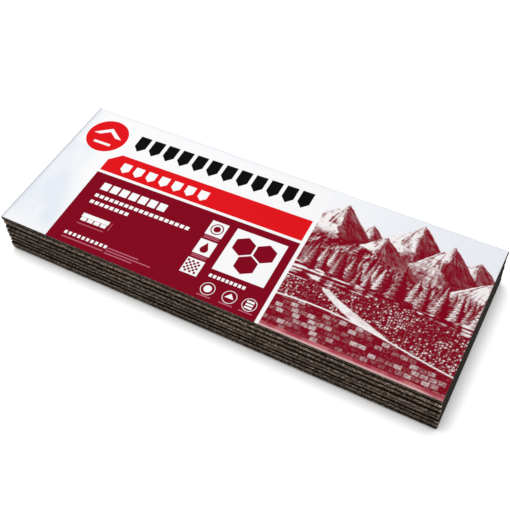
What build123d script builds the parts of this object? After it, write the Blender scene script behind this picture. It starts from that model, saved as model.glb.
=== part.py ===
from build123d import *
from math import atan2, degrees
import os

# Bundle of laminated asphalt shingles lying flat, with a printed label sheet on top.
# X runs along the shingles, Y across them (front is -Y), Z up. The origin is at the
# middle of the underside. All sizes are in millimetres.

# Driving dimensions of one shingle
shingle_length = 1000.0
ply_thickness = 3.5          # one granule-coated felt ply
backer_width = 190.0         # strip of backer glued under the butt half
backer_plies = 2
butt_step = 0.7              # each backer ply stands back this much from the ply outside it

# Slots that part the face sheet's butt half into tabs
tab_count = 6
slot_depth = 142.0
slot_mouth = 9.0             # width at the butt edge
slot_root = 20.0             # width at the inner end
slot_lean = 7.0              # how far the inner end leans sideways, left and right in turn
slot_corner = 2.5            # rounding of the inner end's corners
tab_shift = 37.0             # the slots move along by this much from one shingle to the next

# How the shingles lie in the bundle
pair_count = 8
nest_gap = 4.0               # between the backers of a nested pair
headlap_setback = 4.0        # single-ply edge behind the butt edge of its neighbour
stagger = 0.6                # shingles lie off line by up to this much, both ways
end_swing = 0.4              # and swing sideways by this much at their ends

# Label sheet
label_thickness = 0.3
label_inset = 0.6            # bare rim around the label

# Worked out from the sizes above
bundle_width = 2 * backer_width + nest_gap
sheet_width = bundle_width - headlap_setback
shingle_thickness = (1 + backer_plies) * ply_thickness
pair_height = shingle_thickness + ply_thickness
tab_pitch = shingle_length / tab_count
butt_line = -bundle_width / 2
swing_angle = degrees(atan2(end_swing, shingle_length / 2))
stagger_steps = (0, -1, 1)


def shingle_bed(layer):
    """Plane of a shingle's face. It looks into the shingle: up from a face-down one, whose
    butt edge is then at the back, and down from a face-up one, whose butt edge is in front."""
    face_up = layer % 2 == 1
    pair_base = layer // 2 * pair_height
    face_height = pair_base + pair_height if face_up else pair_base
    along = stagger_steps[layer % 3] * stagger
    across = stagger_steps[(layer + 1) % 3] * stagger
    swing = swing_angle if layer % 4 < 2 else -swing_angle
    inwards = (0, 0, -1) if face_up else (0, 0, 1)
    bed = Plane(origin=(along, across, face_height), x_dir=(-1, 0, 0), z_dir=inwards)
    return bed.rotated((0, 0, swing))


def slot_centres(layer):
    """Middle of each slot's mouth along the butt edge, moved on from shingle to shingle."""
    first = (layer * tab_shift) % tab_pitch
    starts = [first + index * tab_pitch for index in range(tab_count)]
    clear = slot_root + slot_lean
    return [start - shingle_length / 2 for start in starts if clear < start < shingle_length - clear]


def slot_outline(centre, lean):
    """Corners of a tapered slot that runs from the butt edge inwards and leans sideways."""
    inner_line = butt_line + slot_depth
    return (
        (centre - slot_mouth / 2, butt_line),
        (centre + slot_mouth / 2, butt_line),
        (centre + lean + slot_root / 2, inner_line),
        (centre + lean - slot_root / 2, inner_line),
    )


os.makedirs("parts", exist_ok=True)

for layer in range(2 * pair_count):
    bed = shingle_bed(layer)
    with BuildPart() as shingle:
        # Face sheet: the full shingle with its butt half slotted into tabs
        with BuildSketch(bed):
            with Locations((0, butt_line)):
                Rectangle(shingle_length, sheet_width, align=(Align.CENTER, Align.MIN))
            for index, centre in enumerate(slot_centres(layer)):
                lean = slot_lean if index % 2 else -slot_lean
                Polygon(*slot_outline(centre, lean), align=None, mode=Mode.SUBTRACT)
            butt_corners, inner_corners, headlap_corners = vertices().group_by(Axis.Y)
            fillet(inner_corners, radius=slot_corner)
        extrude(amount=ply_thickness)

        # Backer plies under the butt half, each a little shorter at the butt edge
        for ply in range(1, backer_plies + 1):
            with BuildSketch(bed.offset(ply * ply_thickness)):
                with Locations((0, butt_line + ply * butt_step)):
                    Rectangle(
                        shingle_length,
                        backer_width - ply * butt_step,
                        align=(Align.CENTER, Align.MIN),
                    )
            extrude(amount=ply_thickness)

    shingle.part.label = f"shingle_{layer + 1:02d}"
    export_step(shingle.part, f"parts/{shingle.part.label}.step")

# Printed sheet on the face of the top shingle, lined up with it
top_face = shingle_bed(2 * pair_count - 1)
with BuildPart() as label_sheet:
    with BuildSketch(top_face):
        with Locations((0, butt_line + label_inset)):
            Rectangle(
                shingle_length - 2 * label_inset,
                sheet_width - 2 * label_inset,
                align=(Align.CENTER, Align.MIN),
            )
    extrude(amount=-label_thickness)

label_sheet.part.label = "label_sheet"
export_step(label_sheet.part, "parts/label_sheet.step")
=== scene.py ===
# Asphalt shingle bundle: laminated shingles in nested pairs under a printed label sheet.
# X runs along the shingles, Y across them (front is -Y), Z up. Everything is in metres.
import math
import bpy
import numpy as np
from mathutils import Matrix, Vector
from mathutils.geometry import delaunay_2d_cdt


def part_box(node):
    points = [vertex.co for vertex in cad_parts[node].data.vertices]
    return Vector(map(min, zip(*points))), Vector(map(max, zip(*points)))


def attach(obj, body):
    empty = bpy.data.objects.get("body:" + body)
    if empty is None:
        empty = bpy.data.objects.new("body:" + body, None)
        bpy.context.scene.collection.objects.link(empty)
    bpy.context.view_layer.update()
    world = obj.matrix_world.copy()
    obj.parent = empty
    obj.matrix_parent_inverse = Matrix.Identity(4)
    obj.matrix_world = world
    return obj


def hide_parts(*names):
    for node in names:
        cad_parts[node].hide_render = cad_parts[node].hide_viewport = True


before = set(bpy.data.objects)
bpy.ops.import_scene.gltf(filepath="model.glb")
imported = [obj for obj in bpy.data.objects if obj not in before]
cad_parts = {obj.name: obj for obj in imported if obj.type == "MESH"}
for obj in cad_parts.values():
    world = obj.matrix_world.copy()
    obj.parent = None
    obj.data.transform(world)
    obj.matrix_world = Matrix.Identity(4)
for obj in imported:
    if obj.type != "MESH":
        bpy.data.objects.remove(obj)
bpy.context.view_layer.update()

mm = 0.001

# Camera, placed from the origin, which is the middle of the bundle's underside
picture_side = 510                    # pixels on each side of the square frame
view_azimuth, view_elevation, view_roll = 30.98, 50.10, -3.89     # in degrees
camera_distance = 1.897
camera_aside, camera_raised = 12.0 * mm, 76.3 * mm
focal_pixels, shift_pixels = 867.5, -25
sensor_width = 36.0                   # in millimetres, as the lens is

# Light
world_light = 0.53
lamp_place, lamp_side, lamp_power = (-0.6, 0.2, 2.8), 2.2, 42.5   # the power is in watts
floor_reach, floor_grey = 20.0, 0.82
floor_glow = 0.62                     # what the floor adds for the camera where it lies open
contact_shadow_reach = 36 * mm               # within this distance of the bundle it adds less, a painted contact shadow,
contact_shadow_power = 1.35                  # by this power of the share that is open

# Shingles, as the solids have them
shingle_names = sorted(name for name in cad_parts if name.startswith("shingle_"))
pair_count = len(shingle_names) // 2
bundle_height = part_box(shingle_names[-1])[1].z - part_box(shingle_names[0])[0].z
pair_height = bundle_height / pair_count
ply_thickness = pair_height / 4
shingle_length = 1000 * mm
backer_width = 190 * mm
nest_gap = 4 * mm
bundle_width = 2 * backer_width + nest_gap
sheet_width = bundle_width - 4 * mm
butt_line = -bundle_width / 2
butt_step = 0.7 * mm
stagger, end_swing = 0.6 * mm, 0.4 * mm
tab_count = 6
slot_depth, slot_mouth, slot_root, slot_lean = 142 * mm, 9 * mm, 20 * mm, 7 * mm
tab_shift = 37 * mm
backer_spread = 1.2 * mm              # how far a pressed backer reaches into the nest gap

# How the edges have settled: dark grooves between the bands, as heights above the floor
level_grooves = pair_height * (np.arange(pair_count) + 0.125)
settled_grooves = np.array((1.7, 11.0, 27.6, 37.8, 51.9, 66.8, 81.9, 98.9)) * mm
settling_reach = 60 * mm              # the settling fades out this far inside the bundle
sway_height = 0.8 * mm                # the bands also wander up and down by this much,
long_sway, short_sway, end_sway = 130 * mm, 47 * mm, 50 * mm      # in waves of 2 pi times this
bow_height = 2.0 * mm                 # and the low ones are higher mid-length than at the ends

# Stone: paler near the bundle's corners, and lighter on some pairs, counted from the floor
corner_reach, corner_paling = 8 * mm, 1.3
pair_tones = (0.82, 0.92, 1.16, 1.02, 1.14, 0.98, 1.44, 0.60)
grain_size, clump_size = 1.4 * mm, 2.7 * mm

# Colours as they look on a screen, 0 to 255
stone_shades = ((0.20, (35, 26, 19)), (0.40, (76, 63, 53)), (0.62, (107, 91, 80)), (0.85, (144, 126, 112)))
# The last of these is the bitumen colour, also painted as shade into the grooves between the bands.
pale_stone, dark_stone, bitumen_and_groove_shade = (176, 161, 148), (28, 22, 17), (22, 15, 10)
dark_charcoal, pale_charcoal = (30, 27, 22), (50, 44, 37)
red_ink, maroon_ink, black_ink, thin_ink = (226, 18, 26), (130, 0, 28), (2, 2, 2), (188, 102, 122)
white_paper, film_tint_and_sheen, rim_tint_and_shade = (250, 250, 251), (231, 237, 245), (206, 213, 223)
picture_paper, left_sky, right_sky = (252, 248, 248), (247, 248, 252), (239, 242, 248)
dark_strip, pale_strip, strip_kerb_and_highlight = (166, 56, 72), (194, 106, 114), (236, 204, 202)

# The print, with its places as shares of the sheet's length and of its depth from the back
print_soft = 0.15 * mm                # half the width over which a printed edge fades
print_turn = math.radians(1.3)        # the print lies a little askew on the sheet
print_pivot = (0.37, 1.0)             # and this place of it is where it would be if it didn't
before, beyond = -0.05, 1.05          # shares that lie past the sheet's edges
picture_left, picture_front = 0.6275, 0.970
disc_place = (0.0776, 0.177)
small_squares = (0.502, 0.643, 0.784)
icon_places = (0.500, 0.549, 0.593)
coarse_columns, fine_columns, label_rows = 41, 290, 260

lattice_side = 256                    # random lattices repeat after this many cells


def smoothstep(t):
    """3 t^2 - 2 t^3, with t held between 0 and 1."""
    t = np.clip(t, 0, 1)
    return t * t * (3 - 2 * t)


def periodic_noise(along, total, knot_gap, rng):
    """Smooth random heights from -1 to 1 round a closed line: random knots at even
    distances, joined by straight runs that wrap round at the line's full length."""
    count = max(4, int(total / knot_gap))
    knots = rng.uniform(-1, 1, count)
    return np.interp(along, np.arange(count) * total / count, knots, period=total)


def lattice_noise(x, y, cell, seed):
    """Value noise: a random height at each corner of a square lattice of that cell size,
    blended between the corners by smoothstep, first along x and then along y."""
    heights = np.random.default_rng(seed).random((lattice_side, lattice_side))
    column, row = np.floor(x / cell), np.floor(y / cell)
    across, up = smoothstep(x / cell - column), smoothstep(y / cell - row)
    column, row = column.astype(int) % lattice_side, row.astype(int) % lattice_side
    right, above = (column + 1) % lattice_side, (row + 1) % lattice_side
    low = heights[row, column] * (1 - across) + heights[row, right] * across
    high = heights[above, column] * (1 - across) + heights[above, right] * across
    return low * (1 - up) + high * up


def cloud_noise(x, y, cell, seed, octaves=4):
    """Lattice noises added up, each with half the cell and half the height of the last."""
    total = sum(lattice_noise(x, y, cell / 2**n, seed + n) / 2**n for n in range(octaves))
    return total / sum(0.5**n for n in range(octaves))


def turned(x, y, angle):
    """Coordinates turned anticlockwise: x cos - y sin, x sin + y cos."""
    return x * math.cos(angle) - y * math.sin(angle), x * math.sin(angle) + y * math.cos(angle)


def faces_between(numbers):
    """Faces with four corners between the neighbours in a grid of point numbers."""
    corners = [numbers[:-1, :-1], numbers[:-1, 1:], numbers[1:, 1:], numbers[1:, :-1]]
    return np.stack(corners, axis=-1).reshape(-1, 4)


def mesh_piece(name, points, face_blocks, material, marks=None):
    """Makes one object from an array of points and arrays of faces, each array holding
    faces with the same number of corners. marks are named values at the points."""
    corners = np.concatenate([block.ravel() for block in face_blocks])
    counts = np.concatenate([np.full(len(block), block.shape[1]) for block in face_blocks])
    mesh = bpy.data.meshes.new(name)
    mesh.vertices.add(len(points))
    mesh.vertices.foreach_set("co", points.astype(np.float32).ravel())
    mesh.loops.add(len(corners))
    mesh.loops.foreach_set("vertex_index", corners.astype(np.int32))
    mesh.polygons.add(len(counts))
    mesh.polygons.foreach_set("loop_start", (np.cumsum(counts) - counts).astype(np.int32))
    mesh.update(calc_edges=True)
    mesh.validate()
    for label, values in (marks or {}).items():
        mark = mesh.attributes.new(label, "FLOAT", "POINT")
        mark.data.foreach_set("value", values.astype(np.float32).ravel())
    mesh.shade_smooth()
    mesh.materials.append(material)
    piece = bpy.data.objects.new(name, mesh)
    bpy.context.scene.collection.objects.link(piece)
    return piece


# Outlines: sides are numbered by kind, so that each kind gets its own edge
BUTT, SLOT, END, HEADLAP = range(4)
side_spacing = {BUTT: 2.0 * mm, SLOT: 6.0 * mm, END: 2.5 * mm, HEADLAP: 2.4 * mm}
edge_round = {BUTT: 1.0 * mm, SLOT: 1.0 * mm, END: 0.3 * mm, HEADLAP: 1.0 * mm}
edge_ragged = {BUTT: 0.26 * mm, SLOT: 0.25 * mm, END: 0.06 * mm, HEADLAP: 0.25 * mm}
edge_wander = {BUTT: 0.35 * mm, SLOT: 0.3 * mm, END: 0.12 * mm, HEADLAP: 0.4 * mm}
long_wander, short_wander, nick_gap = 90 * mm, 22 * mm, 5 * mm    # between knots of the noises
edge_light = {BUTT: 1.0, SLOT: 0.3, END: 1.0, HEADLAP: 0.1}       # how much stone shows there; the rest is bitumen and painted groove shade
joint_light = 0.6                     # and how much shows in the joints inside one shingle
sheet_rows, backer_rows = 7, 6        # points over the height of each ply
lattice_step = 1.5 * mm               # the plates of a shingle touch, but share no points
felt_seed = 700


def slot_corners(layer):
    """Corners of every slot of a face sheet, in order along the butt edge."""
    pitch = shingle_length / tab_count
    starts = (layer * tab_shift) % pitch + pitch * np.arange(tab_count)
    clear = slot_root + slot_lean
    inner = butt_line + slot_depth
    corners = []
    for index, start in enumerate(starts[(starts > clear) & (starts < shingle_length - clear)]):
        centre = start - shingle_length / 2
        root = centre + (slot_lean if index % 2 else -slot_lean)
        corners += [
            (centre - slot_mouth / 2, butt_line, SLOT),
            (root - slot_root / 2, inner, SLOT),
            (root + slot_root / 2, inner, SLOT),
            (centre + slot_mouth / 2, butt_line, BUTT),
        ]
    return corners


def plate_corners(front, back, slots=()):
    """Corners of a plate anticlockwise, each with the kind of the side that follows it."""
    half = shingle_length / 2
    return [(-half, front, BUTT), *slots, (half, front, END), (half, back, HEADLAP), (-half, back, END)]


def sample_outline(corners):
    """Points round a closed outline of straight sides: corner + t (next corner - corner),
    with t evenly spaced. One averaging with both neighbours takes the sharpness off."""
    places, kinds = [], []
    for (x, y, kind), (next_x, next_y, _) in zip(corners, corners[1:] + corners[:1]):
        count = max(2, int(math.hypot(next_x - x, next_y - y) / side_spacing[kind]))
        t = np.arange(count)[:, None] / count
        places.append((1 - t) * (x, y) + t * (next_x, next_y))
        kinds.append(np.full(count, kind))
    places, kinds = np.concatenate(places), np.concatenate(kinds)
    return (np.roll(places, 1, 0) + 4 * places + np.roll(places, -1, 0)) / 6, kinds


def by_kind(kinds, table):
    """The table's value for each point's kind, blended over the nearest few points."""
    values = np.array([table[kind] for kind in (BUTT, SLOT, END, HEADLAP)])[kinds]
    return (np.roll(values, 1) + 2 * values + np.roll(values, -1)) / 4


def lay_in_bundle(places, layer):
    """Turns a plate's own outline into the bundle's axes. A face-up shingle is mirrored
    along X and a face-down one is turned half round, as their beds are."""
    angle = math.atan2(end_swing, shingle_length / 2) * (1 if layer % 4 < 2 else -1)
    x, y = turned(places[:, 0], places[:, 1], angle)
    steps = (0, -1, 1)
    along = steps[layer % 3] * stagger
    across = steps[(layer + 1) % 3] * stagger
    return np.stack([along - x, across + (y if layer % 2 else -y)], axis=1)


def settle(points):
    """Presses the bundle's edges as they lie: near the border each height moves on a smooth
    curve through the settled grooves, sways slowly along the sides and bows a little. The
    sway is a sum of sines over x and y, and the bow a parabola over x. No height falls
    below the floor."""
    x, y, z = points.T
    inside = np.minimum(shingle_length / 2 - np.abs(x), bundle_width / 2 - np.abs(y))
    near = smoothstep(1 - inside / settling_reach)
    knots = np.concatenate([[0], level_grooves, [bundle_height]])
    shifts = np.concatenate([[0], settled_grooves - level_grooves, [0]])
    fine = np.linspace(0, bundle_height, 400)
    blur_reach = 8
    blur = np.hanning(2 * blur_reach + 1)
    shift = np.pad(np.interp(fine, knots, shifts), blur_reach, mode="edge")
    shift = np.convolve(shift, blur / blur.sum(), mode="valid")
    level = z / bundle_height
    sway = np.sin(x / long_sway + 3 * level) + 0.4 * np.sin(x / short_sway + 1.3 - 4 * level)
    sway = (sway + 0.5 * np.sin(y / end_sway)) * np.clip(4 * level * (1 - level), 0, 1)
    bow = (0.4 - (2 * x / shingle_length) ** 2) * (1 - level) * np.clip(8 * level, 0, 1)
    lift = np.interp(z, fine, shift) + sway_height * sway / 2 + bow_height * bow
    return np.stack([x, y, np.maximum(z + near * lift, 0)], axis=1)


def cap_faces(ring, inner):
    """Triangles that fill a ring of points, with inner points for the height to change over.
    They are numbered through the ring and then through the inner points."""
    here = np.arange(len(ring))
    loop = np.stack([here, np.roll(here, -1)], axis=1)
    made = delaunay_2d_cdt(np.concatenate([ring, inner]).tolist(), loop.tolist(), [], 1, 1e-7)
    source = np.array([found[0] if found else -1 for found in made[3]])
    return source[np.array(made[2])]


def plate(places, kinds, low, high, ply_rows, open_low, rng):
    """A closed plate of felt. A profile is carried round the outline: half an ellipse for
    each ply, inset = round (1 - cos a), height = middle + half the ply times sin a, with a
    from -90 to 90 degrees. Ragged noise pushes each point in or out along its normal. The
    crest mark is cos a, and joint_light at least except at a plate's open side."""
    ahead, behind = np.roll(places, -1, 0), np.roll(places, 1, 0)
    tangent = ahead - behind
    tangent /= np.linalg.norm(tangent, axis=1)[:, None]
    outwards = np.stack([tangent[:, 1], -tangent[:, 0]], axis=1)
    stretch = np.linalg.norm(ahead - places, axis=1)
    along = np.cumsum(stretch) - stretch
    total = stretch.sum()
    rounding, roughness = by_kind(kinds, edge_round), by_kind(kinds, edge_ragged)
    wander = 0.6 * periodic_noise(along, total, long_wander, rng)
    wander = by_kind(kinds, edge_wander) * (wander + 0.4 * periodic_noise(along, total, short_wander, rng))
    butt = (kinds == BUTT).astype(float)
    light = by_kind(kinds, edge_light)

    insets, heights, crests = [], [], []
    ply = (high - low) / len(ply_rows)
    for number, (rows, setback) in enumerate(ply_rows):
        open_ply = number == 0 if open_low else number == len(ply_rows) - 1
        for angle in np.linspace(-np.pi / 2, np.pi / 2, rows)[min(number, 1):]:
            push = rng.normal(0, 1, len(places)) * 0.6 + periodic_noise(along, total, nick_gap, rng)
            crest = math.cos(angle)
            insets.append(rounding * (1 - crest) + butt * setback - (wander + push * roughness * crest))
            heights.append(np.full(len(places), low + ply * (number + 0.5 + 0.5 * math.sin(angle))))
            outermost = open_ply and (angle < 0 if open_low else angle > 0)
            # Low crest values turn the stone to bitumen with painted shade, strongest at the open side that
            # faces a groove.
            crests.append(light * (crest if outermost else max(crest, joint_light)))
    insets, heights, crests = np.array(insets), np.array(heights), np.array(crests)

    count, rows = len(places), len(insets)
    ring = places[None] - insets[..., None] * outwards[None]
    points = np.concatenate([ring, heights[..., None]], axis=2).reshape(-1, 3)
    numbers = np.arange(rows * count).reshape(rows, count)
    bands = faces_between(np.concatenate([numbers, numbers[:, :1]], axis=1))
    at_end, at_butt = kinds == END, kinds == BUTT
    cut = at_end | np.roll(at_end, 1) | np.roll(at_end, -1)
    cut &= ~(at_butt | np.roll(at_butt, 1) | np.roll(at_butt, -1))
    return points, bands, crests.ravel(), np.tile(cut, rows).astype(float)


def inner_points(front, back, corners):
    """Lattice points inside a plate, close together near its border and far apart inside.
    None lies in a slot or within clear of it."""
    steps = np.array((7, 16, 28, 44, 62)) * mm
    clear = 4 * mm
    half = shingle_length / 2
    middle = np.linspace(-half + 100 * mm, half - 100 * mm, 15)
    x = np.concatenate([-half + steps, middle, half - steps[::-1]])
    middle = np.linspace(front + 90 * mm, back - 90 * mm, 5)
    y = np.concatenate([front + steps, middle, back - steps[::-1]])
    y = np.unique(np.round(y[(y > front + 5 * mm) & (y < back - 5 * mm)], 4))
    grid = np.stack(np.meshgrid(x, y), axis=-1).reshape(-1, 2)
    for first, second, third, fourth in zip(corners[::4], corners[1::4], corners[2::4], corners[3::4]):
        share = (grid[:, 1] - butt_line) / slot_depth
        left = first[0] + share * (second[0] - first[0]) - clear
        right = fourth[0] + share * (third[0] - fourth[0]) + clear
        beside = (grid[:, 0] <= left) | (grid[:, 0] >= right)
        grid = grid[beside | (grid[:, 1] >= butt_line + slot_depth + clear)]
    return grid


def shingle_mesh(layer):
    """One laminated shingle: a slotted face sheet and a backer of two plies, each closed.
    Gives its points, its faces, and its crest and cut end marks."""
    rng = np.random.default_rng(felt_seed + layer)
    face_up = layer % 2 == 1
    base = layer // 2 * pair_height
    slots = slot_corners(layer)
    sheet_low = base + 3 * ply_thickness if face_up else base
    setbacks = [(backer_rows, butt_step), (backer_rows, 2 * butt_step)]
    if face_up:
        setbacks = setbacks[::-1]
    sheet_back, backer_back = butt_line + sheet_width, butt_line + backer_width + backer_spread
    plates = (
        (sheet_back, slots, sheet_low, sheet_low + ply_thickness, [(sheet_rows, 0.0)], not face_up),
        (backer_back, [], base + ply_thickness, base + 3 * ply_thickness, setbacks, face_up),
    )
    all_points, faces, crests, ends = [], [], [], []
    start = 0
    for number, (back, notches, low, high, ply_rows, open_low) in enumerate(plates):
        places, kinds = sample_outline(plate_corners(butt_line, back, notches))
        inner = inner_points(butt_line, back, notches) + number * lattice_step
        places, inner = lay_in_bundle(places, layer), lay_in_bundle(inner, layer)
        if face_up:
            places, kinds = places[::-1], kinds[::-1]
        points, bands, crest, end = plate(places, kinds, low, high, ply_rows, open_low, rng)
        count = len(places)
        last_row = len(points) - count
        caps = cap_faces(points[:count, :2], inner)
        faces.append(start + bands)
        for first, height, flip in ((0, low, True), (last_row, high, False)):
            numbers = np.where(caps < count, caps + first, caps - count + len(points))
            faces.append(start + (numbers[:, ::-1] if flip else numbers))
            points = np.concatenate([points, np.column_stack([inner, np.full(len(inner), height)])])
        inside = np.zeros(len(points) - len(crest))
        crests += [crest, inside]
        ends += [end, inside]
        all_points.append(points)
        start += len(points)
    return settle(np.concatenate(all_points)), faces, np.concatenate(crests), np.concatenate(ends)


# Shader helpers
def wire(tree, node, wires):
    """Gives a node's inputs their values, or links the sockets that feed them."""
    for key, value in wires.items():
        if isinstance(value, bpy.types.NodeSocket):
            tree.links.new(value, node.inputs[key])
        else:
            node.inputs[key].default_value = value


def add(tree, kind, wires=None, **settings):
    """Adds a shader node with its settings and wires."""
    made = tree.nodes.new("ShaderNode" + kind)
    for key, value in settings.items():
        setattr(made, key, value)
    wire(tree, made, wires or {})
    return made


def calc(tree, operation, *values, clamp=False):
    """A Math node on sockets or numbers."""
    return add(tree, "Math", dict(enumerate(values)), operation=operation, use_clamp=clamp).outputs[0]


def reckon(tree, operation, *values, output=0):
    """A Vector Math node on sockets or vectors."""
    return add(tree, "VectorMath", dict(enumerate(values)), operation=operation).outputs[output]


def noise(tree, place, scale, detail, **more):
    """The value of a Noise Texture."""
    return add(tree, "TexNoise", {"Vector": place, "Scale": scale, "Detail": detail, **more}).outputs[0]


def point_value(tree, name):
    """A value that the mesh has at its points."""
    return add(tree, "Attribute", attribute_name=name).outputs["Fac"]


def linear(colour):
    """A colour given as it looks on screen, 0 to 255, in the shader's linear numbers.
    A socket is left as it is."""
    if isinstance(colour, bpy.types.NodeSocket):
        return colour
    values = np.array(colour) / 255
    values = np.where(values < 0.04045, values / 12.92, ((values + 0.055) / 1.055) ** 2.4)
    return (*values.tolist(), 1.0)


def blend_colours(tree, factor, first, second, blend_type="MIX"):
    """A Mix node on two colours."""
    wires = {0: factor, 6: linear(first), 7: linear(second)}
    return add(tree, "Mix", wires, data_type="RGBA", blend_type=blend_type).outputs[2]


def spread_range(tree, value, low, high, to_low=0.0, to_high=1.0):
    """Maps low..high to to_low..to_high and clamps."""
    wires = {"Value": value, "From Min": low, "From Max": high, "To Min": to_low, "To Max": to_high}
    return add(tree, "MapRange", wires).outputs["Result"]


def effect_group(name, inputs, outputs):
    """An empty node group with named inputs and outputs, and its two end nodes."""
    group = bpy.data.node_groups.new(name, "ShaderNodeTree")
    for label, kind, value in inputs:
        socket = group.interface.new_socket(label, in_out="INPUT", socket_type="NodeSocket" + kind)
        if value is not None:
            socket.default_value = value
    for label, kind in outputs:
        group.interface.new_socket(label, in_out="OUTPUT", socket_type="NodeSocket" + kind)
    return group, group.nodes.new("NodeGroupInput").outputs, group.nodes.new("NodeGroupOutput").inputs


def use_group(tree, group, wires):
    """Places a node group in a tree and gives its outputs."""
    made = add(tree, "Group", node_tree=group)
    wire(tree, made, wires)
    return made.outputs


def granule_group():
    """Crushed stone granules of a size: a random shade for each, its rounded height, and
    masks of the few pale ones and the few dark ones."""
    inputs = [("Vector", "Vector", None), ("Size", "Float", grain_size)]
    inputs += [("Pale Share", "Float", 0.1), ("Dark Share", "Float", 0.1)]
    outputs = [(name, "Float") for name in ("Shade", "Height", "Pale", "Dark")]
    group, given, result = effect_group("stone_granules", inputs, outputs)
    scale = calc(group, "DIVIDE", 1.0, given["Size"])
    cells = add(group, "TexVoronoi", {"Vector": given["Vector"], "Scale": scale})
    random = add(group, "SeparateColor", {0: cells.outputs["Color"]}).outputs
    group.links.new(random[0], result["Shade"])
    group.links.new(calc(group, "SUBTRACT", 1.0, cells.outputs["Distance"], clamp=True), result["Height"])
    group.links.new(calc(group, "LESS_THAN", random[1], given["Pale Share"]), result["Pale"])
    group.links.new(calc(group, "LESS_THAN", random[2], given["Dark Share"]), result["Dark"])
    return group


def principled(name, **constants):
    """A material with its Principled BSDF, and constants set straight on the shader."""
    material = bpy.data.materials.new(name)
    material.use_nodes = True
    tree = material.node_tree
    shader = tree.nodes["Principled BSDF"]
    for key, value in constants.items():
        shader.inputs[key.replace("_", " ")].default_value = value
    return material, tree, shader


def felt_material(granules):
    """Granule-coated bitumen felt: brown and grey stone with pale specks on the butt edges,
    bitumen with painted shade in the grooves, and charcoal on the cut ends with the plies as faint streaks."""
    material, tree, shader = principled("granule_felt", Specular_IOR_Level=0.1)
    place = add(tree, "TexCoord").outputs["Object"]
    crest, tone, cut = (point_value(tree, name) for name in ("crest", "tone", "cut_end"))

    # Two sizes of granules make the shade
    flattened = add(tree, "Mapping", {"Vector": place, "Scale": (0.8, 0.8, 1.0)}).outputs[0]
    grains = {"Vector": place, "Size": grain_size, "Pale Share": 0.10, "Dark Share": 0.10}
    grains = use_group(tree, granules, grains)
    clumps = {"Vector": flattened, "Size": clump_size, "Pale Share": 0.08, "Dark Share": 0.13}
    clumps = use_group(tree, granules, clumps)
    patches, broad = noise(tree, flattened, 45.0, 3.0), noise(tree, flattened, 9.0, 2.0)
    shade = calc(tree, "MULTIPLY_ADD", grains["Shade"], 0.3, calc(tree, "MULTIPLY", clumps["Shade"], 0.6))
    shade = calc(tree, "MULTIPLY_ADD", patches, 0.5, calc(tree, "SUBTRACT", shade, 0.15))
    ramp = add(tree, "ValToRGB", {"Fac": shade})
    while len(ramp.color_ramp.elements) < len(stone_shades):
        ramp.color_ramp.elements.new(0.5)
    for element, (position, colour) in zip(ramp.color_ramp.elements, stone_shades):
        element.position, element.color = position, linear(colour)

    # Odd stones, the pair's own tone, and bitumen with painted groove shade where no crest is
    pale = [calc(tree, "MULTIPLY", clumps["Pale"], 0.9), calc(tree, "MULTIPLY", grains["Pale"], 0.5)]
    dark = calc(tree, "MULTIPLY", clumps["Dark"], 0.75)
    stone = blend_colours(tree, calc(tree, "MAXIMUM", *pale), ramp.outputs[0], pale_stone)
    stone = blend_colours(tree, dark, stone, dark_stone)
    toned = calc(tree, "MULTIPLY", tone, spread_range(tree, broad, 0.3, 0.7, 0.75, 1.25))
    toned = add(tree, "CombineColor", {channel: toned for channel in range(3)}).outputs[0]
    stone = blend_colours(tree, 1.0, stone, toned, "MULTIPLY")
    stone = blend_colours(tree, crest, bitumen_and_groove_shade, stone)

    stretched = add(tree, "Mapping", {"Vector": place, "Scale": (1, 60, 520)}).outputs[0]
    streaks = spread_range(tree, noise(tree, stretched, 1.0, 5.0), 0.35, 0.65)
    charcoal = blend_colours(tree, streaks, dark_charcoal, pale_charcoal)
    relief = calc(tree, "MULTIPLY", clumps["Height"], 0.5)
    relief = calc(tree, "MULTIPLY_ADD", grains["Height"], 0.5, relief)
    bump = add(tree, "Bump", {"Strength": 0.6, "Distance": 0.8 * mm, "Height": relief}).outputs[0]
    roughness = spread_range(tree, shade, 0.0, 1.0, 0.95, 0.75)
    colour = blend_colours(tree, cut, stone, charcoal)
    wire(tree, shader, {"Base Color": colour, "Roughness": roughness, "Normal": bump})
    return material


def print_group(name, *sizes, outputs=(("Mask", "Float"),)):
    """A group for one printed shape: its sizes, and the way from its Centre to the Place."""
    inputs = [("Place", "Vector", None), ("Centre", "Vector", None), *sizes]
    group, given, result = effect_group("printed_" + name, inputs, outputs)
    return group, given, result, reckon(group, "SUBTRACT", given["Place"], given["Centre"])


def within(group, distance):
    """1 where a distance is below nought, 0 where it is above, with the print's soft edge."""
    return spread_range(group, distance, -print_soft, print_soft, 1.0, 0.0)


def bar_group():
    """Printed bar: 1 inside a box given by its centre and half size, 0 outside."""
    group, given, result, away = print_group("bar", ("Half Size", "Vector", None))
    outside = reckon(group, "SUBTRACT", reckon(group, "ABSOLUTE", away), given["Half Size"])
    parts = add(group, "SeparateXYZ", {0: outside}).outputs
    group.links.new(within(group, calc(group, "MAXIMUM", parts[0], parts[1])), result["Mask"])
    return group


def disc_group():
    """Printed disc: 1 within a radius of its centre, 0 outside."""
    group, given, result, away = print_group("disc", ("Radius", "Float", 10 * mm))
    outside = calc(group, "SUBTRACT", reckon(group, "LENGTH", away, output="Value"), given["Radius"])
    group.links.new(within(group, outside), result["Mask"])
    return group


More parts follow.
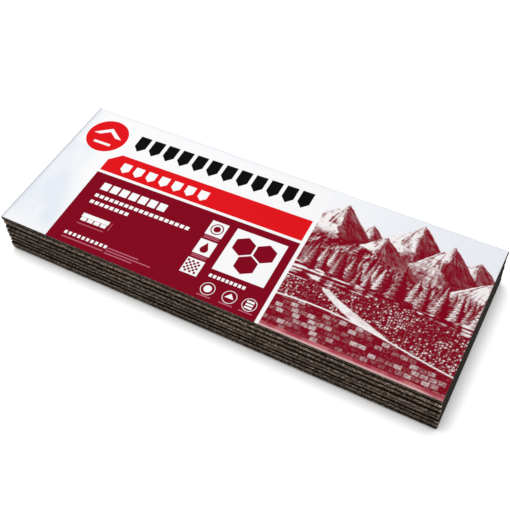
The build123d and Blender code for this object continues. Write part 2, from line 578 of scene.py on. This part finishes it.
def wedge_group():
    """Printed wedge: an upright triangle over its centre, or with a negative height a
    triangle that hangs below it. 1 inside, 0 outside."""
    sizes = [("Half Width", "Float", 10 * mm), ("Height", "Float", 10 * mm)]
    group, given, result, away = print_group("wedge", *sizes)
    parts = add(group, "SeparateXYZ", {0: away}).outputs
    share = calc(group, "DIVIDE", parts[1], given["Height"])
    side = calc(group, "DIVIDE", calc(group, "ABSOLUTE", parts[0]), given["Half Width"])
    slope = spread_range(group, calc(group, "ADD", share, side), 0.99, 1.01, 1.0, 0.0)
    group.links.new(calc(group, "MULTIPLY", slope, spread_range(group, share, 0.0, 0.01)), result["Mask"])
    return group


def hexagon_group():
    """Printed hexagon: 1 where both |x| and |x| / 2 + |y| sqrt(3) / 2 are under its radius."""
    group, given, result, away = print_group("hexagon", ("Radius", "Float", 10 * mm))
    parts = add(group, "SeparateXYZ", {0: reckon(group, "ABSOLUTE", away)}).outputs
    slanted = calc(group, "MULTIPLY_ADD", parts[1], math.sqrt(3) / 2, calc(group, "MULTIPLY", parts[0], 0.5))
    outside = calc(group, "SUBTRACT", calc(group, "MAXIMUM", parts[0], slanted), given["Radius"])
    group.links.new(within(group, outside), result["Mask"])
    return group


def row_group():
    """Repeats what is printed along X: gives the place measured from the nearest of Count
    centres that stand Pitch apart, the first one at Centre, and a mask for the whole row."""
    sizes = [("Pitch", "Float", 10 * mm), ("Count", "Float", 4.0)]
    outputs = [("Local", "Vector"), ("Within", "Float")]
    group, given, result, away = print_group("row", *sizes, outputs=outputs)
    parts = add(group, "SeparateXYZ", {0: away}).outputs
    number = calc(group, "ROUND", calc(group, "DIVIDE", parts[0], given["Pitch"]))
    local = calc(group, "SUBTRACT", parts[0], calc(group, "MULTIPLY", number, given["Pitch"]))
    after_first = calc(group, "GREATER_THAN", number, -0.5)
    before_last = calc(group, "LESS_THAN", number, calc(group, "SUBTRACT", given["Count"], 0.5))
    group.links.new(add(group, "CombineXYZ", {0: local, 1: parts[1]}).outputs[0], result["Local"])
    group.links.new(calc(group, "MULTIPLY", after_first, before_last), result["Within"])
    return group


def slant_group():
    """Straight slanting limit through a centre: 1 on the side its Facing vector points to."""
    group, given, result, away = print_group("slant", ("Facing", "Vector", None))
    reach = reckon(group, "DOT_PRODUCT", away, given["Facing"], output="Value")
    group.links.new(spread_range(group, reach, -print_soft, print_soft), result["Mask"])
    return group


class LabelPrint:
    """Draws plain shapes in the label's shader. Places are shares of the label: x from its
    left edge and y from its back edge, and sizes are in metres. The print is turned about
    its pivot, so what it is drawn with are places turned back. edge_place isn't turned."""

    def __init__(self, tree, low, high):
        self.tree, self.low, self.high = tree, low, high
        self.groups = {
            "bar": bar_group(),
            "disc": disc_group(),
            "wedge": wedge_group(),
            "hexagon": hexagon_group(),
            "slant": slant_group(),
            "row": row_group(),
        }
        self.edge_place = reckon(tree, "MULTIPLY", add(tree, "TexCoord").outputs["Object"], (1, 1, 0))
        turn = {"Vector": self.edge_place, "Center": self.point(*print_pivot), "Angle": -print_turn}
        self.place = add(tree, "VectorRotate", turn, rotation_type="Z_AXIS").outputs[0]

    def point(self, x, y):
        """The place at two shares of the label."""
        return (self.low.x + x * (self.high.x - self.low.x), self.high.y - y * (self.high.y - self.low.y), 0)

    def fade(self, axis, value, start, end, *levels):
        """Maps a place along x (axis 0) or y (axis 1) from one share to another, to levels."""
        low, high = self.point(start, start)[axis], self.point(end, end)[axis]
        return spread_range(self.tree, value, low, high, *levels)

    def shape(self, kind, x, y, place=None, **sizes):
        """The mask of a shape at two shares, or at x and y of a place of its own."""
        centre = self.point(x, y) if place is None else (x, y, 0)
        wires = {"Place": place or self.place, "Centre": centre}
        wires.update({key.replace("_", " "): value for key, value in sizes.items()})
        return use_group(self.tree, self.groups[kind], wires)["Mask"]

    def bar(self, left, right, back, front):
        """A bar between two shares of x and two of y."""
        corner, other = self.point(left, back), self.point(right, front)
        half = ((other[0] - corner[0]) / 2, (corner[1] - other[1]) / 2, 1)
        return self.shape("bar", (left + right) / 2, (back + front) / 2, Half_Size=half)

    def row(self, x, y, pitch, count):
        """The local place along a row of repeats, and the mask of the row."""
        wires = {"Place": self.place, "Centre": self.point(x, y), "Pitch": pitch, "Count": count}
        made = use_group(self.tree, self.groups["row"], wires)
        return made["Local"], made["Within"]

    def dashes(self, x, y, pitch, count, width, height):
        """A row of small bars."""
        local, in_row = self.row(x, y, pitch, count)
        return self.both(self.shape("bar", 0, 0, place=local, Half_Size=(width / 2, height / 2, 1)), in_row)

    def pennants(self, x, y, pitch, count, width, height, drop):
        """A row of tabs with pointed lower ends."""
        local, in_row = self.row(x, y, pitch, count)
        body = self.shape("bar", 0, 0, place=local, Half_Size=(width / 2, height / 2, 1))
        lap = 2 * print_soft
        tip = self.shape("wedge", 0, lap - height / 2, place=local, Half_Width=width / 2, Height=-drop - lap)
        return self.both(self.any(body, tip), in_row)

    def ring(self, x, y, radius, width):
        """A ring inside a radius."""
        outer = self.shape("disc", x, y, Radius=radius)
        return self.without(outer, self.shape("disc", x, y, Radius=radius - width))

    def any(self, *masks):
        """Where at least one of the masks is."""
        made = masks[0]
        for mask in masks[1:]:
            made = calc(self.tree, "MAXIMUM", made, mask)
        return made

    def both(self, first, second):
        """Where two masks meet."""
        return calc(self.tree, "MULTIPLY", first, second)

    def without(self, mask, hole):
        """A mask less another."""
        return self.both(mask, calc(self.tree, "SUBTRACT", 1.0, hole))


def white_shapes(draw):
    """What is printed white on the red bar and the dark panel."""
    bar_tabs = draw.pennants(0.173, 0.356, pitch=33 * mm, count=7, width=22 * mm, height=20 * mm, drop=9 * mm)
    tiles = draw.dashes(0.163, 0.540, pitch=24 * mm, count=7, width=19 * mm, height=21 * mm)
    long_row = draw.dashes(0.158, 0.616, pitch=12.6 * mm, count=19, width=9 * mm, height=9 * mm)
    short_row = draw.dashes(0.158, 0.668, pitch=12.6 * mm, count=8, width=9 * mm, height=9 * mm)
    course = draw.bar(0.161, 0.228, 0.758, 0.786)
    course_tabs = draw.dashes(0.170, 0.800, pitch=16.5 * mm, count=4, width=13.5 * mm, height=9 * mm)
    front_row = draw.dashes(0.155, 0.918, pitch=11 * mm, count=10, width=6.5 * mm, height=8 * mm)
    squares = [draw.bar(0.425, 0.464, back, back + 0.104) for back in small_squares]
    large_square = draw.bar(0.483, 0.600, 0.498, 0.804)
    row_below = draw.dashes(0.489, 0.846, pitch=9.4 * mm, count=9, width=6.4 * mm, height=8 * mm)
    rows = (bar_tabs, tiles, long_row, short_row, course, course_tabs, front_row, row_below)
    return draw.any(*rows, *squares, large_square)


def icon_shapes(draw):
    """Three round icons with plain marks in them, also white."""
    first, second, third = icon_places
    dot = draw.shape("disc", first, 0.930, Radius=8.5 * mm)
    roof = draw.shape("wedge", second, 0.938, Half_Width=10 * mm, Height=12 * mm)
    slats = [draw.bar(third - 0.008, third + 0.008, back, back + 0.012) for back in (0.906, 0.925, 0.944)]
    rings = [draw.ring(x, 0.930, radius=15.5 * mm, width=1.4 * mm) for x in icon_places]
    return draw.any(dot, roof, *slats, *rings)


def pale_lines(draw):
    """Thin pale lines beside and below the other shapes."""
    below = draw.bar(0.161, 0.228, 0.833, 0.838)
    beside = draw.bar(0.234, 0.2355, 0.761, 0.818)
    front_line = draw.bar(0.152, 0.255, 0.946, 0.953)
    ends = ((0.335, 0.916), (0.367, 0.934), (0.326, 0.952))
    long_lines = [draw.bar(0.260, right, back, back + 0.007) for right, back in ends]
    square_lines = [draw.bar(0.427, 0.462, back, back + 0.006) for back in (0.613, 0.624, 0.754, 0.765)]
    icon_lines = [draw.bar(x - 0.015, x + 0.015, 0.976, 0.983) for x in icon_places]
    return draw.any(below, beside, front_line, *long_lines, *square_lines, *icon_lines)


def dark_shapes(draw):
    """What is printed in the dark panel colour on the white squares."""
    middle = 0.4447
    sun = draw.ring(middle, 0.554, radius=14.5 * mm, width=2.6 * mm)
    sun = draw.any(draw.shape("disc", middle, 0.554, Radius=8 * mm), sun)
    drop = draw.shape("wedge", middle, 0.701, Half_Width=8.3 * mm, Height=17 * mm)
    drop = draw.any(draw.shape("disc", middle, 0.708, Radius=9 * mm), drop)
    checks = []
    for row in range(6):
        start = (0.4297 + 0.00521 * (row % 2), 0.802 + 0.0137 * row)
        checks.append(draw.dashes(*start, pitch=10.4 * mm, count=3, width=5.2 * mm, height=5.2 * mm))
    centres = ((0.5170, 0.600), (0.5654, 0.600), (0.5412, 0.708))
    cells = [draw.shape("hexagon", x, y, Radius=22 * mm) for x, y in centres]
    return draw.any(sun, drop, *checks, *cells)


def label_material():
    """Printed film-faced paper: plain panels, plain shapes and the landscape, with a cloudy
    bluish blank end and back rim of film tint and painted sheen, slightly uneven ink and fine wrinkles."""
    material, tree, shader = principled("printed_sheet", Specular_IOR_Level=0.03)
    low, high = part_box("label_sheet")
    length = high.x - low.x
    draw = LabelPrint(tree, low, high)
    tone, sky = point_value(tree, "tone"), point_value(tree, "sky")
    coarse, fine = noise(tree, draw.place, 22.0, 5.0, Distortion=0.6), noise(tree, draw.place, 900.0, 2.0)
    across, up = add(tree, "SeparateXYZ", {0: draw.place}).outputs[:2]
    edge_up = add(tree, "SeparateXYZ", {0: draw.edge_place}).outputs[1]

    # Blank end, narrower at the back and wider at the front, and the back rim, both clouded with bluish film
    # tint and painted sheen
    narrower = calc(tree, "MULTIPLY", draw.bar(before, beyond, before, 0.286), 0.055 * length)
    wider = draw.fade(1, up, 0.5, 0.9, 0.0, 0.07 * length)
    reach = calc(tree, "ADD", across, calc(tree, "SUBTRACT", narrower, wider))
    blank = draw.both(draw.fade(0, reach, 0.10, 0.045), draw.fade(1, edge_up, 0.90, 0.99, 1.0, 0.45))
    blank = draw.both(blank, draw.bar(before, 0.119, before, beyond))
    drawn = add(tree, "Mapping", {"Vector": draw.place, "Scale": (1.0, 0.3, 1.0)}).outputs[0]
    streaks = spread_range(tree, noise(tree, drawn, 26.0, 4.0, Distortion=0.5), 0.32, 0.62, 0.45, 1.0)
    # Film tint and painted sheen: bluish streaks over the blank end and along the back rim.
    film_cloud_and_sheen = draw.both(streaks, draw.any(blank, draw.fade(1, edge_up, 0.035, 0.0, 0.0, 0.6)))
    paper = blend_colours(tree, film_cloud_and_sheen, white_paper, film_tint_and_sheen)

    # Landscape, and the strip along its front, paler towards the sheet's edge: a pale kerb line in the print
    # and a painted edge highlight
    inked_tone = calc(tree, "MULTIPLY", tone, spread_range(tree, fine, 0.3, 0.7, 0.7, 1.3), clamp=True)
    duotone = blend_colours(tree, inked_tone, maroon_ink, picture_paper)
    air = blend_colours(tree, draw.fade(0, across, 0.64, 0.84), left_sky, right_sky)
    duotone = blend_colours(tree, sky, duotone, air)
    # Pale line along the sheet's front edge, part kerb in the print and part painted edge highlight, weaker
    # near the right end.
    kerb_and_highlight = draw.fade(1, edge_up, 0.984, 0.993, 0.0, 0.62)
    kerb_and_highlight = draw.both(kerb_and_highlight, draw.fade(0, across, 0.96, 0.985, 1.0, 0.35))
    strip = blend_colours(tree, spread_range(tree, coarse, 0.4, 0.6), dark_strip, pale_strip)
    strip = blend_colours(tree, kerb_and_highlight, strip, strip_kerb_and_highlight)
    in_strip = draw.fade(1, edge_up, picture_front - 0.0005, picture_front + 0.0005)
    picture = blend_colours(tree, in_strip, duotone, strip)

    # Red bar with its corner cut off, red disc and dark panel
    chamfer = draw.shape("slant", 0.120, 0.344, Facing=(0.70, -0.71, 0))
    red_bar = draw.both(draw.bar(0.120, 0.618, 0.280, 0.433), chamfer)
    red = draw.any(red_bar, draw.shape("disc", *disc_place, Radius=50 * mm))
    panel = draw.bar(0.119, 0.619, 0.452, beyond)

    # Roof and sill on the disc, the smaller shapes, and a grey-blue line round the sheet's rim, its edge tint
    # and painted edge shade
    roofs = [
        draw.shape("wedge", disc_place[0], disc_place[1] + drop, Half_Width=37 * mm, Height=26 * mm)
        for drop in (0, 0.030)
    ]
    sill = draw.bar(0.0561, 0.0991, 0.232, 0.250)
    whites = draw.any(white_shapes(draw), icon_shapes(draw), draw.without(*roofs), sill)
    frieze = {"pitch": 37.3 * mm, "count": 12, "width": 28 * mm, "height": 34 * mm, "drop": 14 * mm}
    frieze = draw.pennants(0.167, 0.137, **frieze)
    middle = draw.point(0.502, 0.502)
    half = (0.498 * length, 0.498 * (high.y - low.y), 1)
    inside = draw.shape("bar", middle[0], middle[1], place=draw.edge_place, Half_Size=half)

    colour = paper
    for mask, ink in (
        (draw.bar(picture_left, beyond, before, beyond), picture),
        (red, red_ink),
        (panel, maroon_ink),
        (whites, white_paper),
        (pale_lines(draw), thin_ink),
        (dark_shapes(draw), maroon_ink),
        (frieze, black_ink),
        (draw.without(0.8, inside), rim_tint_and_shade),
    ):
        colour = blend_colours(tree, mask, colour, ink)

    creases = noise(tree, draw.place, 60.0, 6.0, Roughness=0.6, Distortion=1.2)
    bump = add(tree, "Bump", {"Strength": 0.2, "Distance": 1.0 * mm, "Height": creases}).outputs[0]
    roughness = spread_range(tree, fine, 0.3, 0.7, 0.42, 0.55)
    wire(tree, shader, {"Base Color": colour, "Roughness": roughness, "Normal": bump})
    return material


def over(tone, layer, mask):
    """Lays a layer over a tone where its mask is 1."""
    return tone * (1 - mask) + layer * mask


def inked(distance, soft=1.2 * mm):
    """A mask that turns from 0 to 1 over a soft width where the distance crosses nought."""
    return np.clip(distance / soft + 0.5, 0, 1)


def crags(x, y, cell, seed):
    """Light and shade on broken ground: heights with sharp ridges, 1 - |2 noise - 1|, less
    the heights a little further towards the upper left."""
    reach = 1.8 * mm
    light = 0
    for n in range(5):
        here = lattice_noise(x, y, cell / 2**n, seed + n)
        further = lattice_noise(x - reach, y + 0.8 * reach, cell / 2**n, seed + n)
        light = light + (np.abs(2 * further - 1) - np.abs(2 * here - 1)) / 1.9**n
    return light * cell / reach


def peak(x, y, middle, top, slope, seed):
    """A mountain: what lies under two slopes that fall from its top, roughened by noise. Its
    crest wanders down from the top, light falls on the left flank, and gullies fan out from
    the top. Gives the tone and the mask."""
    down = top - y
    away = x - middle
    rough = 16 * mm * (cloud_noise(x, y, 0.035, seed) - 0.5)
    mask = inked(down - slope * np.abs(away) * (1 - 0.25 * np.clip(down / top, 0, 1)) - rough)
    crest = away - 0.55 * down * (cloud_noise(y, y * 0, 0.045, seed + 3, 3) - 0.5)
    fan = away / np.maximum(down, 6 * mm)
    gullies = crags(0.045 * fan, 0.35 * down, 0.016, seed + 4)
    lit = inked(-crest - 2 * mm * gullies, 3 * mm)
    snow_reach = 0.13 * top * (0.6 + 0.8 * cloud_noise(x, y, 0.025, seed + 8))
    snow = inked(snow_reach - down * 0.55 - 4 * mm * gullies, 8 * mm)
    shaded = np.clip(0.13 + 0.06 * gullies + 0.14 * snow, 0, 1)
    bright = np.clip(0.40 + 0.18 * gullies + 0.52 * snow, 0, 1)
    return over(shaded, bright, lit), mask


def dots(x, y, cell, share, seed):
    """A round dot inside some cells of a square lattice, each off its cell's middle by a
    random step and with a random radius. share is how many of the cells hold one."""
    column, row = np.floor(x / cell), np.floor(y / cell)
    random = np.random.default_rng(seed).random((4, lattice_side, lattice_side))
    random = random[:, row.astype(int) % lattice_side, column.astype(int) % lattice_side]
    away_x = x / cell - column - 0.5 - 0.5 * (random[0] - 0.5)
    away_y = y / cell - row - 0.5 - 0.5 * (random[1] - 0.5)
    radius = 0.16 + 0.12 * random[2]
    return inked((radius - np.hypot(away_x, away_y)) * cell) * (random[3] < share)


def conifers(x, y, foot, height, pitch, seed):
    """A row of conifers: one to each pitch of x, its tip at a random height, its half width
    growing from the tip down in steps like boughs. Gives the tone and the mask."""
    number = np.floor(x / pitch)
    mask, tone = np.zeros_like(x), np.zeros_like(x)
    for neighbour in (-1, 0, 1):
        tree = number + neighbour
        middle = (tree + 0.5 + 0.7 * (lattice_noise(tree, tree * 0, 1.0, seed) - 0.5)) * pitch
        tall = height * (0.55 + 0.45 * lattice_noise(tree, tree * 0, 1.0, seed + 1))
        down = foot + tall - y
        bough = np.mod(down, tall / 7) / (tall / 7)
        reach = 0.24 * down * (0.72 + 0.42 * bough)
        shape = inked(reach - np.abs(x - middle)) * inked(down)
        side = (x - middle) / np.maximum(reach, 1 * mm)
        pale = 0.5 + 1.2 * lattice_noise(tree, tree * 0, 1.0, seed + 3)
        needles = pale * (0.35 + 0.9 * lattice_noise(x, y, 2.0 * mm, seed + 2))
        leaf = np.clip(0.40 - 0.42 * side - 0.25 * bough, 0, 1) * needles
        tone, mask = over(tone, leaf, shape), np.maximum(mask, shape)
    return tone, mask


def landscape(x, y, width, depth):
    """A made-up landscape in one ink, from back to front. Each layer covers what lies below
    its own outline, made of slopes, sines and noises over x, and the path what lies near its
    middle line. Gives the tone, from 0 for full ink to 1 for bare paper, and the sky's mask."""
    flat = np.zeros_like(x)
    tone, sky = np.ones_like(x), np.ones_like(x)

    # Snowy range, from the far peaks to the near ones
    far_peaks = ((0.30, 0.84, 1.0), (0.92, 0.83, 0.9))
    middle_peaks = ((0.56, 0.95, 1.1), (0.12, 0.92, 1.0), (0.76, 0.87, 1.1))
    near_peaks = ((0.40, 0.78, 0.9), (1.02, 0.72, 0.8))
    for number, (share, top, slope) in enumerate(far_peaks + middle_peaks + near_peaks):
        rock, land = peak(x, y, share * width, top * depth, slope, 11 + 9 * number)
        tone, sky = over(tone, rock, land), sky * (1 - land)
    haze = 0.25 * np.clip(1 - np.abs(y - 0.60 * depth) / (0.07 * depth), 0, 1) * (1 - sky)
    tone = tone * (1 - haze) + 0.75 * haze

    # Middle hills
    hills = depth * (0.57 + 0.07 * np.sin(x / width * 5.2 + 0.6) + 0.06 * cloud_noise(x, flat, 0.05, 31))
    light = crags(x, y, 0.03, 33)
    land = inked(hills - y)
    tone, sky = over(tone, np.clip(0.22 + 0.15 * light, 0.0, 0.8), land), sky * (1 - land)

    # Three rows of conifers
    rows = ((0.51, 36 * mm, 13 * mm), (0.46, 58 * mm, 23 * mm), (0.40, 88 * mm, 40 * mm))
    for number, (share, height, pitch) in enumerate(rows):
        foot = depth * (share + 0.02 * np.sin(x / width * 7 + number * 2))
        leaf, land = conifers(x, y, foot, height, pitch, 41 + 5 * number)
        floor = inked(foot + 5 * mm - y)
        tone = over(tone, 0.10 + 0.25 * lattice_noise(x, y, 3 * mm, 77 + number), floor)
        tone, sky = over(tone, leaf + 0.08 * (2 - number), land), sky * (1 - np.maximum(land, floor))

    # Lake
    shore = depth * (0.415 + 0.02 * np.sin(x / width * 4 + 2)) + 5 * mm * cloud_noise(x, flat, 0.02, 51)
    ripple = cloud_noise(x * 0.12, y, 3.2 * mm, 53, 3)
    mirror = cloud_noise(x + 0.3 * mm * np.sin(y / mm), y * 0.25, 0.010, 57, 2)
    water = np.clip(0.60 + (ripple - 0.5) * 2.8 - 0.7 * np.clip((mirror - 0.4) * 3, 0, 1), 0.0, 1)
    tone = over(tone, water, inked(shore - y))

    # Meadow with blossom
    bank = depth * (0.345 + 0.03 * np.sin(x / width * 6 + 4) + 0.03 * cloud_noise(x, flat, 0.02, 61))
    near = np.clip(1 - y / bank, 0, 1)
    tufts = crags(x, y * (1.5 - 0.5 * near), 0.010, 63)
    patches = cloud_noise(x, y, 0.06, 67)
    blossom = dots(x, y, 4.6 * mm, 0.7 * patches - 0.14, 68)
    blossom = np.maximum(blossom, dots(x, y, 7 * mm, 0.9 * patches - 0.2, 69))
    grass = np.clip(0.13 + 0.12 * tufts, 0, 0.6)
    tone = over(tone, over(grass, 0.97, blossom), inked(bank - y))

    # Path
    middle = width * (0.42 + 0.22 * np.sin(y / depth * 11 + 0.6))
    reach = 3 * mm + 50 * mm * (1 - y / (depth * 0.37))
    edge = reach * (1 + 0.3 * (cloud_noise(x, y, 0.012, 71) - 0.5)) - np.abs(x - middle)
    path = inked(edge) * inked(bank - 2 * mm - y)
    tone = over(tone, 0.88 + 0.3 * (cloud_noise(x, y, 0.008, 73) - 0.5), path)

    # Courses of tabs below a pale rail
    course_height, tab_width = 11.5 * mm, 17 * mm
    rail = depth * (0.15 + 0.06 * np.sin(x / width * 3.0 + 1.0))
    course = np.floor(y / course_height)
    shifted = x + course * 0.37 * tab_width
    shade = lattice_noise(np.floor(shifted / tab_width), course, 1.0, 83)
    gap = np.minimum(np.mod(shifted, tab_width), tab_width - np.mod(shifted, tab_width))
    tabs = np.clip(0.13 + 0.56 * shade**1.6 + 0.35 * (lattice_noise(x, y, 2.2 * mm, 85) - 0.5), 0, 1)
    tabs = tabs * inked(gap - 0.9 * mm) * (0.25 + 0.75 * inked(np.mod(y, course_height) - 2.2 * mm))
    tone = over(tone, tabs, inked(rail - y))
    tone = over(tone, 1, inked(1.6 * mm - np.abs(y - rail)))
    return np.clip(1.3 * tone - 0.2, 0, 1) ** 1.9, sky


def label_mesh(material):
    """The printed sheet: a lattice of points on its top, close together under the picture,
    with height = top + low clouds that fade towards the rim, closed by thin walls. The
    landscape is worked out at places turned back about the print's pivot."""
    low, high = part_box("label_sheet")
    length, depth = high.x - low.x, high.y - low.y
    fine_left = low.x + picture_left * length - depth * math.tan(print_turn) - 2 * mm
    x = np.linspace(low.x, fine_left, coarse_columns)[:-1]
    x = np.concatenate([x, np.linspace(fine_left, high.x, fine_columns)])
    grid_x, grid_y = np.meshgrid(x, np.linspace(low.y, high.y, label_rows))
    inside = [grid_x - low.x, high.x - grid_x, grid_y - low.y, high.y - grid_y]
    inside = np.min(inside, axis=0)
    relief = 0.8 * mm * cloud_noise(grid_x, grid_y, 0.12, 900) * smoothstep(inside / (25 * mm))
    top = np.stack([grid_x, grid_y, high.z + relief], axis=-1).reshape(-1, 3)
    number = np.arange(grid_x.size).reshape(grid_x.shape)
    rim = np.concatenate([number[0, :-1], number[:-1, -1], number[-1, :0:-1], number[:0:-1, 0]])
    under = len(top) + np.arange(len(rim))
    walls = np.stack([under, np.roll(under, -1), np.roll(rim, -1), rim], axis=1)
    points = np.concatenate([top, top[rim] * (1, 1, 0) + (0, 0, low.z)])
    pivot_x, pivot_y = low.x + print_pivot[0] * length, high.y - print_pivot[1] * depth
    across, up = turned(points[:, 0] - pivot_x, points[:, 1] - pivot_y, -print_turn)
    width = (1 - picture_left) * length
    tone, sky = landscape(across + pivot_x - high.x + width, up + pivot_y - low.y, width, depth)
    faces = [faces_between(number), walls, under[None, ::-1]]
    return mesh_piece("printed_label", points, faces, material, {"tone": tone, "sky": sky})


def seen_mask(tree):
    """1 for rays that the camera, a reflection or glass sends, 0 for light on its way."""
    ray = add(tree, "LightPath").outputs
    seen = calc(tree, "MAXIMUM", ray["Is Camera Ray"], ray["Is Glossy Ray"])
    return calc(tree, "MAXIMUM", seen, ray["Is Transmission Ray"])


def studio():
    """Pale floor with a painted contact shadow round the bundle, white surroundings and one large soft lamp,
    high up and a little left.
    """
    scene = bpy.context.scene
    scene.view_settings.view_transform = "Standard"
    world = bpy.data.worlds.new("pale_room")
    scene.world = world
    world.use_nodes = True
    tree = world.node_tree
    light = tree.nodes["Background"]
    light.inputs["Color"].default_value = (1, 1, 1, 1)
    light.inputs["Strength"].default_value = world_light
    white = add(tree, "Background", {"Color": (1, 1, 1, 1), "Strength": 1.0})
    mixed = add(tree, "MixShader", {0: seen_mask(tree), 1: light.outputs[0], 2: white.outputs[0]})
    tree.links.new(mixed.outputs[0], tree.nodes["World Output"].inputs[0])

    grey = (floor_grey, floor_grey, floor_grey, 1)
    material, tree, shader = principled("pale_floor", Base_Color=grey, Roughness=0.9, Specular_IOR_Level=0.05)
    shader.inputs["Emission Color"].default_value = (1, 1, 1, 1)
    # Painted contact shadow: the glow the camera sees is dimmed near the bundle by ambient occlusion, over
    # the real shadow the floor keeps.
    open_share = add(tree, "AmbientOcclusion", {"Distance": contact_shadow_reach}, samples=8).outputs["AO"]
    glow = calc(tree, "MULTIPLY", calc(tree, "POWER", open_share, contact_shadow_power), floor_glow)
    tree.links.new(calc(tree, "MULTIPLY", seen_mask(tree), glow), shader.inputs["Emission Strength"])
    floor_points = floor_reach * np.array(((-1, -1, 0), (1, -1, 0), (1, 1, 0), (-1, 1, 0)))
    floor = mesh_piece("floor", floor_points, [np.arange(4)[None]], material)

    lamp = bpy.data.lights.new("soft_lamp", "AREA")
    lamp.shape, lamp.size, lamp.size_y, lamp.energy = "RECTANGLE", lamp_side, lamp_side, lamp_power
    holder = bpy.data.objects.new("soft_lamp", lamp)
    holder.location = lamp_place
    holder.rotation_euler = Vector(holder.location).to_track_quat("Z", "Y").to_euler()
    scene.collection.objects.link(holder)


def place_camera():
    """The photograph's view: turned about the origin by azimuth and elevation, then rolled,
    moved back by the distance, and aside and up within the picture's plane."""
    azimuth, elevation, roll = map(math.radians, (view_azimuth, view_elevation, view_roll))
    right = Vector((math.cos(azimuth), math.sin(azimuth), 0))
    level = math.cos(elevation)
    backwards = Vector((math.sin(azimuth) * level, -math.cos(azimuth) * level, math.sin(elevation)))
    up = backwards.cross(right)
    across = right * math.cos(roll) + up * math.sin(roll)
    upwards = up * math.cos(roll) - right * math.sin(roll)
    spot = across * camera_aside + upwards * camera_raised + backwards * camera_distance
    camera = bpy.data.cameras.new("camera")
    camera.sensor_width = sensor_width
    camera.lens = focal_pixels * sensor_width / picture_side
    camera.shift_y = shift_pixels / picture_side
    holder = bpy.data.objects.new("camera", camera)
    turn = Matrix((across, upwards, backwards)).transposed()
    holder.matrix_world = Matrix.Translation(spot) @ turn.to_4x4()
    bpy.context.scene.collection.objects.link(holder)
    bpy.context.scene.camera = holder


place_camera()
studio()
felt = felt_material(granule_group())
for layer, name in enumerate(shingle_names):
    points, faces, crests, ends = shingle_mesh(layer)
    from_end, from_side = shingle_length / 2 - np.abs(points[:, 0]), bundle_width / 2 - np.abs(points[:, 1])
    # The stone is made paler near the bundle's vertical corners.
    near_corner = smoothstep(1 - np.maximum(from_end, from_side) / corner_reach)
    marks = {"crest": crests, "cut_end": ends, "tone": pair_tones[layer // 2] * (1 + corner_paling * near_corner)}
    piece = mesh_piece("laminated_" + name, points, faces, felt, marks)
    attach(piece, "root")
    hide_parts(name)

label = label_mesh(label_material())
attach(label, "root")
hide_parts("label_sheet")
